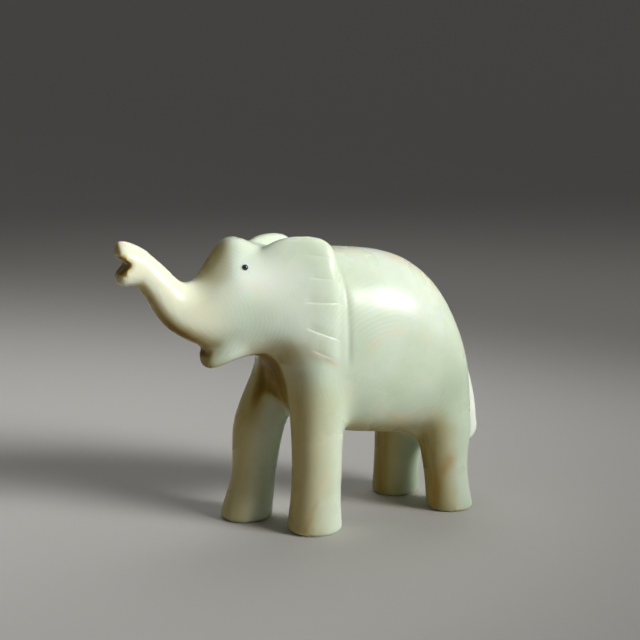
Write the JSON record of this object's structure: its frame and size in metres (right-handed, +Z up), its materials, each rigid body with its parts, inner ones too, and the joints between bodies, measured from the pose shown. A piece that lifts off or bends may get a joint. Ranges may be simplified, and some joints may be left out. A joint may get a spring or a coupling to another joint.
{
  "type": "carved stone elephant figurine",
  "caption": "Free-standing elephant carved from one pale celadon stone block, raised trunk, cut lines on the fan ears, dark bead eyes.",
  "frame": {"origin": "on the surface the figure stands on, under the middle of its bounding box", "axes": "+X towards the tail, so the head and trunk point to -X; +Y towards the elephant's right side; +Z up from the soles"},
  "size_m": [0.1094, 0.037, 0.08],
  "materials": {
    "polished_stone": "polished",
    "black_bead": "glossy"
  },
  "bodies": {
    "root": {"stone_elephant": "polished_stone", "eye_bead_left": "black_bead", "eye_bead_right": "black_bead"}
  },
  "joints": []
}
